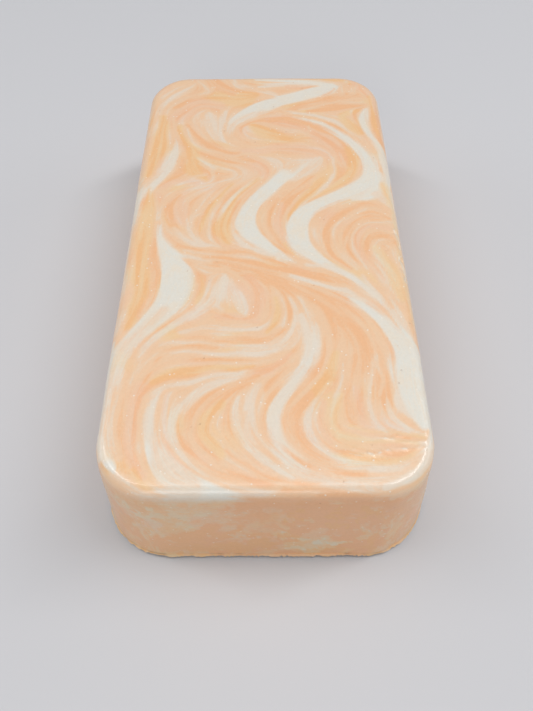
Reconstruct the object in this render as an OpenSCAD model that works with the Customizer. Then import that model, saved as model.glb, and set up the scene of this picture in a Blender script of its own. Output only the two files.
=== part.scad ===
// A swirled two-colour soap slab, turned out of its mould and lying on its poured side.
// +Z is up, and the origin is the middle of the underside. The slab's length runs along Y.
// The two soaps are separate solids that fill each other: one orange body, and cream ribbons
// that run down into it from the moulded top.

/* [Slab] */
// Width of the slab at its base, across X
base_w = 170; // [150:1:190]
// Length of the slab at its base, along Y
base_l = 320; // [300:1:340]
// Height from the underside to the moulded top
height = 73; // [60:1:80]
// Corner radius in plan at the base
corner_r = 35; // [30:1:40]
// Lean of the side walls, degrees from upright
draft = 6; // [4:0.5:8]
// Radius of the rounded edge around the top
edge_r = 6; // [3:0.5:7]

/* [Base edge] */
// How far the thin lip left by the mould's rim stands out from the wall
lip_out = 0.6; // [0.3:0.1:1]
// Thickness of the lip at its outer edge
lip_t = 1; // [0.5:0.1:2]
// Height of the bevel under the lip, where the edge curls up off the table
bevel_h = 2; // [1:0.1:3]
// How far the bevel goes in under the slab
bevel_in = 3; // [2:0.1:5]

/* [Swirl] */
// How deep the widest cream ribbons go down from the top
deep = 40; // [35:1:45]
// How deep the middling ribbons go
middling = 28; // [20:1:34]
// How deep the thin streaks go
shallow = 14; // [8:1:18]
// Straight steps between two points of a ribbon's path
path_steps = 3; // [2:1:4]

/* [Hidden] */

wall_lean = tan(draft);
// straight runs between the corner centres
run_x = base_w - 2 * corner_r;
run_y = base_l - 2 * corner_r;
// clearance for a cutter that passes right through a face
over = 1;

// ---------------------------------------------------------------- the slab's outline

// Section of the slab outwards from a corner's centre: x is outwards, y is up.
// The wall leans in, meets the top in a round of edge_r, and ends below in the lip and bevel.
module edge_section() {
    round_x = corner_r - (height - edge_r) * wall_lean - edge_r / cos(draft);
    round_z = height - edge_r;
    lip_top = bevel_h + lip_t;
    union() {
        polygon([
            [0, 0],
            [corner_r - bevel_in, 0],
            [corner_r + lip_out, bevel_h],
            [corner_r + lip_out, lip_top],
            [corner_r - (lip_top + lip_out) * wall_lean, lip_top + lip_out],
            [round_x + edge_r * cos(draft), round_z + edge_r * sin(draft)],
            [round_x, round_z],
            [round_x, height],
            [0, height]
        ]);
        translate([round_x, round_z]) circle(r = edge_r, $fn = 48);
    }
}

// A straight length of that section, standing along Y from 0 to run, its inner side at X = 0
module edge_run(run) {
    translate([0, run, 0]) rotate([90, 0, 0]) linear_extrude(height = run) edge_section();
}

module loaf_form() {
    // middle block
    translate([-run_x / 2, -run_y / 2, 0]) cube([run_x, run_y, height]);
    // side walls
    translate([run_x / 2, -run_y / 2, 0]) edge_run(run_y);
    translate([-run_x / 2, run_y / 2, 0]) rotate([0, 0, 180]) edge_run(run_y);
    // end walls
    translate([run_x / 2, run_y / 2, 0]) rotate([0, 0, 90]) edge_run(run_x);
    translate([-run_x / 2, -run_y / 2, 0]) rotate([0, 0, -90]) edge_run(run_x);
    // corners
    for (quarter = [0:3])
        translate([
            (quarter == 0 || quarter == 3 ? 1 : -1) * run_x / 2,
            (quarter < 2 ? 1 : -1) * run_y / 2,
            0
        ])
            rotate([0, 0, 90 * quarter]) rotate_extrude(angle = 90, $fn = 96) edge_section();
}

// ---------------------------------------------------------------- ribbons

// A point on the smooth curve through four path points, between the middle two
function on_curve(a, b, c, d, t) =
    0.5 * (2 * b + (c - a) * t + (2 * a - 5 * b + 4 * c - d) * t * t
        + (3 * b - a - 3 * c + d) * t * t * t);

// The whole path as short straight steps
function smooth(path) = concat(
    [for (i = [0:len(path) - 2], k = [0:path_steps - 1])
        on_curve(path[max(i - 1, 0)], path[i], path[i + 1],
            path[min(i + 2, len(path) - 1)], k / path_steps)],
    [path[len(path) - 1]]
);

// Unit vector across the path at step i
function across(line, i) =
    let (a = line[max(i - 1, 0)], b = line[min(i + 1, len(line) - 1)],
        along = [b[0] - a[0], b[1] - a[1]])
    [-along[1], along[0]] / norm(along);

// One side of a ribbon: side is 1 or -1
function flank(line, side) = [for (i = [0:len(line) - 1])
    [line[i][0], line[i][1]] + side * line[i][2] * across(line, i)];

function backwards(list) = [for (i = [len(list) - 1:-1:0]) list[i]];

// A path is a list of [x, y, half width]. The ribbon is a curtain of that plan, from above the
// top down to the given depth.
module curtain(path, depth) {
    line = smooth(path);
    translate([0, 0, height - depth])
        linear_extrude(height = depth + over)
            polygon(concat(flank(line, 1), backwards(flank(line, -1))));
}

module far_curtain() {
    curtain([[-23, 82, 1], [-22, 91, 3.2], [-20, 99, 4.6], [-14, 106, 6], [-3, 115, 6], [10, 123, 5.5],
        [22, 127, 6], [34, 132, 7], [43, 137, 6], [49, 141, 3]], deep);
    curtain([[-6, 147, 0.8], [8, 146, 1.6], [24, 145, 2], [38, 143, 2.4], [46, 140, 2]], deep);
}

module right_s_curtain()
    curtain([[3, 107, 0.6], [16, 107, 1.6], [28, 103, 2.8], [40, 97, 3.4], [50, 88, 3.6],
        [58, 77, 3.6], [64, 65, 4], [65, 52, 4.6], [61, 41, 6.2], [50, 33, 4.8],
        [38, 27, 4.2], [27, 21, 5], [20, 12, 6], [18, 2, 6.4], [20, -8, 5.6], [27, -17, 4.4],
        [37, -25, 3.6], [47, -33, 3], [55, -41, 2.4], [61, -49, 1]], deep);

module centre_s_curtain()
    curtain([[24, 60, 1], [18, 53, 3.5], [10, 46, 4.2], [3, 38, 4.8], [-4, 29, 5],
        [-9, 19, 5.2], [-11, 9, 6], [-8, -1, 6], [-1, -9, 5.4], [8, -16, 4], [16, -21, 2],
        [22, -25, 0.8]], deep);

module right_edge_streak_curtain()
    curtain([[68, 115, 0.8], [65, 108, 2], [64, 99, 2.4], [66, 90, 2.4], [70, 82, 2.6],
        [74, 73, 3], [76, 62, 3], [76, 50, 2.5], [75, 42, 1]], middling);

module right_edge_pool_curtain()
    curtain([[14, -30, 0.6], [26, -36, 1.4], [37, -41, 2.2], [47, -47, 2.8], [55, -54, 3.2],
        [62, -64, 4], [68, -76, 6.6], [71, -88, 9], [72, -102, 9], [73, -113, 6],
        [74, -121, 2]], middling);

module left_streak_curtain()
    curtain([[-56, 86, 0.8], [-55, 75, 2.2], [-56, 65, 3], [-60, 55, 3.4], [-65, 46, 3.6],
        [-71, 37, 4], [-75, 27, 4], [-76, 17, 3], [-76, 8, 1]], middling);

module left_pool_curtain()
    curtain([[-60, 8, 0.8], [-59, -2, 1.8], [-55, -12, 4], [-50, -22, 6.5], [-47, -33, 8.8],
        [-48, -43, 8.6], [-53, -53, 6.4], [-60, -63, 4.8], [-67, -72, 4.4], [-72, -82, 4.4],
        [-75, -94, 4.6], [-76, -108, 4.6], [-76, -122, 4], [-72, -134, 3], [-66, -141, 1.5]],
        deep);

module inner_left_curtain()
    curtain([[-22, -29, 0.8], [-25, -38, 3], [-28, -48, 3.4], [-37, -56, 3.2], [-46, -62, 2.6],
        [-54, -69, 2.4], [-60, -77, 2.2], [-64, -87, 1.6], [-66, -97, 0.8]], middling);

module small_tongue_curtain()
    curtain([[-19, -33, 0.8], [-18, -38, 2], [-15, -45, 3.2], [-13, -52, 3], [-12, -57, 1.2]],
        shallow);

module hook_streak_curtain()
    curtain([[-40, 66, 0.6], [-33, 60, 1], [-25, 57, 1.4], [-17, 54, 1.6], [-15, 50, 1.6],
        [-20, 46, 1.4], [-29, 43, 1.2], [-40, 38, 0.9], [-48, 33, 0.6]], shallow);

module mid_streak_curtain()
    curtain([[-2, 48, 0.6], [-9, 42, 1.2], [-16, 35, 1.5], [-22, 27, 1.7], [-27, 18, 1.7],
        [-30, 8, 1.5], [-30, -2, 1.2], [-25, -9, 0.6]], shallow);

module mid_band_curtain()
    curtain([[-22, -76, 0.8], [-10, -78, 1.8], [2, -77, 2.2], [10, -71, 2.4], [14, -62, 2.4],
        [15, -53, 1.4], [13, -46, 0.7]], shallow);

module lower_s_curtain()
    curtain([[18, -45, 0.8], [21, -53, 2], [24, -62, 2.6], [25, -72, 3], [24, -82, 3.2],
        [19, -91, 3.4], [12, -100, 3.4], [6, -108, 3.6], [3, -117, 4], [4, -126, 4],
        [9, -134, 3.8], [18, -141, 3.6], [30, -146, 3.4], [45, -149, 3.2], [58, -148, 1.6]],
        deep);

module lower_hook_curtain()
    curtain([[31, -97, 0.8], [24, -106, 2], [20, -115, 3.4], [21, -124, 3.6], [28, -132, 3],
        [38, -137, 2], [48, -138, 0.8]], middling);

module lower_mid_curtain()
    curtain([[-13, -104, 0.8], [-15, -113, 2], [-13, -122, 2.6], [-7, -131, 2.4],
        [2, -139, 2], [12, -146, 0.8]], shallow);

module right_streak_a_curtain()
    curtain([[54, -82, 0.7], [52, -91, 1.2], [50, -100, 1.6], [49, -109, 1.8],
        [51, -118, 1.4], [56, -124, 0.7]], shallow);

module right_streak_b_curtain()
    curtain([[57, -106, 0.7], [57, -112, 1.4], [60, -118, 1.4], [65, -122, 0.7]], shallow);

module near_left_curtain()
    curtain([[-50, -102, 0.8], [-53, -112, 2.2], [-52, -123, 3.2], [-48, -134, 5.5],
        [-40, -145, 8], [-28, -154, 9], [-14, -158, 6], [-4, -160, 2]], deep);

module near_left_streak_curtain()
    curtain([[-6, -90, 0.7], [-18, -94, 1.6], [-29, -99, 2.4], [-37, -107, 2.8],
        [-42, -117, 2.6], [-40, -127, 2], [-34, -135, 1.2], [-27, -140, 0.7]], middling);

// ---------------------------------------------------------------- the pieces

// A cream ribbon is what its curtain takes out of the slab
module cream() {
    color([0.90, 0.87, 0.80]) intersection() {
        loaf_form();
        children();
    }
}

module orange_soap() {
    color([0.94, 0.74, 0.55]) difference() {
        loaf_form();
        far_curtain();
        right_s_curtain();
        centre_s_curtain();
        right_edge_streak_curtain();
        right_edge_pool_curtain();
        left_streak_curtain();
        left_pool_curtain();
        inner_left_curtain();
        small_tongue_curtain();
        hook_streak_curtain();
        mid_streak_curtain();
        mid_band_curtain();
        lower_s_curtain();
        lower_hook_curtain();
        lower_mid_curtain();
        right_streak_a_curtain();
        right_streak_b_curtain();
        near_left_curtain();
        near_left_streak_curtain();
    }
}

module cream_far_ribbon() cream() far_curtain();
module cream_right_s_ribbon() cream() right_s_curtain();
module cream_centre_s_ribbon() cream() centre_s_curtain();
module cream_right_edge_streak() cream() right_edge_streak_curtain();
module cream_right_edge_pool() cream() right_edge_pool_curtain();
module cream_left_streak() cream() left_streak_curtain();
module cream_left_pool() cream() left_pool_curtain();
module cream_inner_left_ribbon() cream() inner_left_curtain();
module cream_small_tongue() cream() small_tongue_curtain();
module cream_hook_streak() cream() hook_streak_curtain();
module cream_mid_streak() cream() mid_streak_curtain();
module cream_mid_band() cream() mid_band_curtain();
module cream_lower_s_ribbon() cream() lower_s_curtain();
module cream_lower_hook() cream() lower_hook_curtain();
module cream_lower_mid_band() cream() lower_mid_curtain();
module cream_right_streak_a() cream() right_streak_a_curtain();
module cream_right_streak_b() cream() right_streak_b_curtain();
module cream_near_left_ribbon() cream() near_left_curtain();
module cream_near_left_streak() cream() near_left_streak_curtain();

orange_soap();
cream_far_ribbon();
cream_right_s_ribbon();
cream_centre_s_ribbon();
cream_right_edge_streak();
cream_right_edge_pool();
cream_left_streak();
cream_left_pool();
cream_inner_left_ribbon();
cream_small_tongue();
cream_hook_streak();
cream_mid_streak();
cream_mid_band();
cream_lower_s_ribbon();
cream_lower_hook();
cream_lower_mid_band();
cream_right_streak_a();
cream_right_streak_b();
cream_near_left_ribbon();
cream_near_left_streak();
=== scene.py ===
"""Looks of the swirled soap slab, built around its CAD frame.

The slab's skin is one fine mesh with the small unevenness of cast soap. It is cut along the CAD
ribbons into one piece per CAD node. The swirl's colours follow drawn strokes, and fine
threads are drawn out along the same flow.
"""

import math

import bpy
import numpy as np
from mathutils import Euler, Matrix, Vector
from mathutils.bvhtree import BVHTree


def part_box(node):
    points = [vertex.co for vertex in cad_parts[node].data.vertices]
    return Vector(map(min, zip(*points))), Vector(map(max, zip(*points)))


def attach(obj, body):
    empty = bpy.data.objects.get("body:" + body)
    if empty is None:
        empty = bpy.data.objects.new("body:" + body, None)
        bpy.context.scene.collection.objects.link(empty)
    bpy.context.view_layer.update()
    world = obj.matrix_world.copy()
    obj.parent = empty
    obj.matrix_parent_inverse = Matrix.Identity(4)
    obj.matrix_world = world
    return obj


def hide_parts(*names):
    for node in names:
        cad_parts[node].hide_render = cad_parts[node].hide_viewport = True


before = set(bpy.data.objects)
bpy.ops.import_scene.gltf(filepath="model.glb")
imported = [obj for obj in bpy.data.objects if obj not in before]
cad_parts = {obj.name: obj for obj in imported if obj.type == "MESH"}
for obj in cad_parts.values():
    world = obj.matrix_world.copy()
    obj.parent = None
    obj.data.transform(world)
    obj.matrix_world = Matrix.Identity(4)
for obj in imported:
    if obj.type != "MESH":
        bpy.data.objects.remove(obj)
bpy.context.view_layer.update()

MM = 0.001
BODY = "orange_soap"
RIBBONS = sorted(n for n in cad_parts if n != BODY)

# ---- the slab's sizes, in mm
box_high = np.array(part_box(BODY)[1]) / MM
HEIGHT = box_high[2]
CORNER = 35.0  # plan radius at the base
DRAFT = math.radians(6)
EDGE = 6.0  # radius around the top
LIP_OUT = 0.6  # how far the lip at the foot stands out from the wall
LIP_THICK = 1.0
BEVEL_HIGH = 2.0  # the bevel under the lip
BEVEL_IN = 3.0
LIP_TOP = BEVEL_HIGH + LIP_THICK
RUN_X = box_high[0] - LIP_OUT - CORNER  # half the straight run along X
RUN_Y = box_high[1] - LIP_OUT - CORNER
# the centre of the top edge's round, out from the corner's centre and up
ROUND_X = CORNER - (HEIGHT - EDGE) * math.tan(DRAFT) - EDGE / math.cos(DRAFT)
ROUND_Z = HEIGHT - EDGE
WALL_S = ROUND_X + EDGE * (math.pi / 2 - DRAFT)  # way along the skin to the wall's top
WALL_Z = ROUND_Z + EDGE * math.sin(DRAFT)
SKIN_STEP = 1.0  # between the skin's points
TOP_RINGS, EDGE_RINGS, WALL_RINGS = 21, 9, 33
TOP_SINK = 0.42  # the cast top lies this far under the CAD top, so that its bumps stay inside
TOP_GAP = 0.02  # and it stays at least this far under it


# ---- small helpers
def smoothstep(a, b, x):
    t = np.clip((x - a) / (b - a), 0, 1)
    return t * t * (3 - 2 * t)


class Wobble:
    """Smooth repeatable noise, about -1 to 1: a sum of random waves of about that size in mm."""

    def __init__(self, seed, size, waves=24):
        rng = np.random.default_rng(seed)
        k = rng.normal(size=(waves, 2))
        k /= np.linalg.norm(k, axis=1)[:, None]
        self.k = k * (2 * math.pi / size) * rng.uniform(0.55, 1.6, waves)[:, None]
        self.phase = rng.uniform(0, 2 * math.pi, waves)
        self.gain = math.sqrt(2 / waves) * 0.7

    def __call__(self, p):
        out = np.zeros(len(p))
        for k, phase in zip(self.k, self.phase):
            out += np.sin(p @ k + phase)
        return out * self.gain


# ---- the slab's shape
def profile():
    """Points [out, z, the normal's lean from upright], from the flat top round to the underside."""
    pts = [(r, HEIGHT, 0) for r in np.linspace(0, ROUND_X, TOP_RINGS + 1)[1:]]
    steep, level, down = math.pi / 2 - DRAFT, math.pi / 2, math.pi
    for a in np.linspace(0, steep, EDGE_RINGS + 1)[1:]:
        pts.append((ROUND_X + EDGE * math.sin(a), ROUND_Z + EDGE * math.cos(a), a))
    for z in np.linspace(WALL_Z, LIP_TOP + LIP_OUT, WALL_RINGS + 1)[1:]:
        pts.append((CORNER - z * math.tan(DRAFT), z, steep))
    pts += [
        (CORNER - 0.05, LIP_TOP + 0.2, level),
        (CORNER + LIP_OUT - 0.1, LIP_TOP - 0.2, level),
        (CORNER + LIP_OUT, BEVEL_HIGH + 0.6, level),
        (CORNER + LIP_OUT - 0.15, BEVEL_HIGH + 0.4, level),
        (CORNER - BEVEL_IN / 2, BEVEL_HIGH / 2, down),
        (CORNER - BEVEL_IN, 0, down),
        (CORNER * 0.6, 0, down),
    ]
    return np.array(pts)


def outline():
    """Once round the slab: foot points on the core rectangle, and outward directions."""
    nx = int(round(2 * RUN_X / SKIN_STEP)) + 1
    ny = int(round(2 * RUN_Y / SKIN_STEP)) + 1
    nc = int(round(CORNER * math.pi / 2 / SKIN_STEP)) + 1
    foot, way = [], []
    corners = [(RUN_X, -RUN_Y), (RUN_X, RUN_Y), (-RUN_X, RUN_Y), (-RUN_X, -RUN_Y)]
    for side in range(4):
        a, b = np.array(corners[side]), np.array(corners[(side + 1) % 4])
        angle = side * math.pi / 2
        for t in np.linspace(0, 1, ny if side % 2 == 0 else nx):
            foot.append(a + (b - a) * t)
            way.append((math.cos(angle), math.sin(angle)))
        for t in np.linspace(0, 1, nc)[1:-1]:
            foot.append(b)
            turn = angle + t * math.pi / 2
            way.append((math.cos(turn), math.sin(turn)))
    return np.array(foot), np.array(way), nx, ny


def way_along(p):
    """Foot point, outward direction, and the way along the skin from the corner's centre."""
    foot = np.column_stack([np.clip(p[:, 0], -RUN_X, RUN_X), np.clip(p[:, 1], -RUN_Y, RUN_Y)])
    d = p[:, :2] - foot
    out = np.linalg.norm(d, axis=1)
    way = d / np.maximum(out, 1e-9)[:, None]
    angle = np.clip(np.arctan2(out - ROUND_X, p[:, 2] - ROUND_Z), 0, math.pi / 2 - DRAFT)
    s = np.where(out > ROUND_X, ROUND_X + EDGE * angle, out)
    on_wall = (out > ROUND_X) & (p[:, 2] < WALL_Z)
    s = np.where(on_wall, WALL_S + (WALL_Z - p[:, 2]) / math.cos(DRAFT), s)
    return foot, way, s


def flat_map(p):
    """The skin's flat map: the top as it is, with the walls folded out around it."""
    foot, way, s = way_along(p)
    return foot + way * s[:, None]


# dents along the right-hand top edge and on the top: x, y, radius, depth
DENTS = [
    (74.5, 1, 2.6, 0.6), (73, -4, 2.2, 0.35), (76, -9, 2.4, 0.55), (67.5, -12, 1.3, 0.4),
    (76.5, -19, 2.6, 0.65), (75, -26, 2.4, 0.55), (77, -32, 2.6, 0.65), (72, -40, 2.6, 0.3),
    (76, -47, 2.2, 0.3), (74, -58, 2.4, 0.2), (77, 14, 2.2, 0.3), (73, 22, 3, 0.2),
    (-76, -64, 2.2, 0.25), (-76, -52, 1.8, 0.2), (-77, 40, 2.2, 0.2), (-30, -152, 2.4, 0.15),
]
# raised creases: a path [x, y, half width] and a height
CREASES = [
    ([[40, -131, 0.7], [48, -134, 0.9], [53, -132.5, 0.8], [60, -131.5, 0.7], [68, -131, 0.9],
      [77, -130, 1]], 0.34),
    ([[54, -126, 0.5], [58, -126.5, 0.8], [61, -125, 0.5]], 0.28),
    ([[36, -133, 0.6], [41, -134.5, 0.9], [46, -133.5, 0.6]], 0.22),
    ([[62, -128, 0.4], [68, -128, 0.6], [76, -127, 0.5]], 0.16),
    ([[74, 4, 0.5], [71, 0, 0.7], [70, -5, 0.7], [72, -9, 0.5]], 0.24),
    ([[66, -8, 0.4], [68.5, -9, 0.6], [69, -12, 0.6], [67, -13.5, 0.4]], 0.26),
    ([[78, -14, 0.5], [74, -18, 0.8], [73, -24, 0.8], [76, -29, 0.6]], 0.24),
    ([[73, -28, 0.4], [75, -33, 0.7], [77, -36, 0.7]], 0.22),
    ([[66, -38, 0.4], [69, -41, 0.6], [74, -42, 0.6], [78, -40, 0.5]], 0.16),
    ([[-76, -39, 0.4], [-73, -42, 0.5], [-70, -46, 0.4]], 0.12),
]


def crease_breaks(flat):
    """1 where a crease stands in full, down to 0 where it fades out."""
    return smoothstep(-0.9, 1.1, Wobble(36, 5.5, waves=40)(flat))


def relief(flat, s):
    """How far the skin stands out from the CAD shape, in mm, at points of the flat map."""
    on_wall = smoothstep(WALL_S - 4, WALL_S + 6, s)
    out = -TOP_SINK * (1 - on_wall)
    # slow waves, smaller ones, and a fine grain in patches
    out += (0.07 + 0.15 * on_wall) * Wobble(31, 62)(flat)
    out += 0.035 * Wobble(32, 17)(flat) + 0.014 * Wobble(33, 5, waves=40)(flat)
    rough = smoothstep(0.15, 0.75, Wobble(34, 24)(flat))
    out += 0.03 * rough * Wobble(35, 3.2, waves=60)(flat)
    for x, y, radius, depth in DENTS:
        d = np.hypot(flat[:, 0] - x, flat[:, 1] - y)
        own_seed = int(abs(x * y)) + 7
        out -= depth * smoothstep(radius, 0, d + 0.35 * Wobble(own_seed, 4)(flat))
    ragged = crease_breaks(flat)
    for path, height in CREASES:
        near, d, w = to_line(flat, curve(path, 1.0), 4)
        out[near] += height * ragged[near] * smoothstep(w + 0.7, 0, d)
    fall = np.maximum(s - ROUND_X, 0) ** 2 / (2 * EDGE)
    return np.minimum(out, fall - TOP_GAP)


def build_skin():
    """The whole slab as one closed mesh: vertices in mm and faces."""
    foot, way, nx, ny = outline()
    m = len(foot)
    xs, ys = np.linspace(-RUN_X, RUN_X, nx), np.linspace(-RUN_Y, RUN_Y, ny)
    gx, gy = np.meshgrid(xs, ys)
    core = np.stack([gx.ravel(), gy.ravel(), np.full(gx.size, HEIGHT)], 1)
    core[:, 2] += relief(core[:, :2], np.zeros(len(core)))
    rings = []
    teeth = Wobble(41, 2.1, waves=40)
    bite = Wobble(42, 11)
    for out, z, lean in profile():
        p = np.column_stack([foot + way * out, np.full(m, z)])
        if z == 0:
            rings.append(p)
            continue
        offset = relief(flat_map(p), way_along(p)[2])
        if z <= LIP_TOP + 0.3:  # the lip is a thin, torn edge
            edge = foot + way * CORNER
            torn = np.clip(0.5 + 0.55 * teeth(edge) + 0.4 * bite(edge), 0, 1)
            offset = -LIP_OUT * 0.9 * torn if out > CORNER - BEVEL_IN / 2 else np.zeros(m)
            p[:, 2] += 0.9 * (torn - 0.5) * (z > BEVEL_HIGH / 2)
        normal = np.column_stack([way * math.sin(lean), np.full(m, math.cos(lean))])
        rings.append(p + normal * offset[:, None])
    verts = np.concatenate([core] + rings)
    on_core = (
        np.rint((foot[:, 1] + RUN_Y) / (ys[1] - ys[0])).astype(int) * nx
        + np.rint((foot[:, 0] + RUN_X) / (xs[1] - xs[0])).astype(int)
    )
    first = len(core)
    faces = []
    for j in range(ny - 1):
        for i in range(nx - 1):
            a = j * nx + i
            faces.append((a, a + 1, a + nx + 1, a + nx))
    for j in range(m):
        k = (j + 1) % m
        a, d = on_core[j], on_core[k]
        faces.append((a, first + j, first + k) if a == d else (a, first + j, first + k, d))
        for r in range(len(rings) - 1):
            o = first + r * m
            faces.append((o + j, o + m + j, o + m + k, o + k))
    last = first + (len(rings) - 1) * m
    faces.append(tuple(range(last + m - 1, last - 1, -1)))
    return verts, faces


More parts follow.
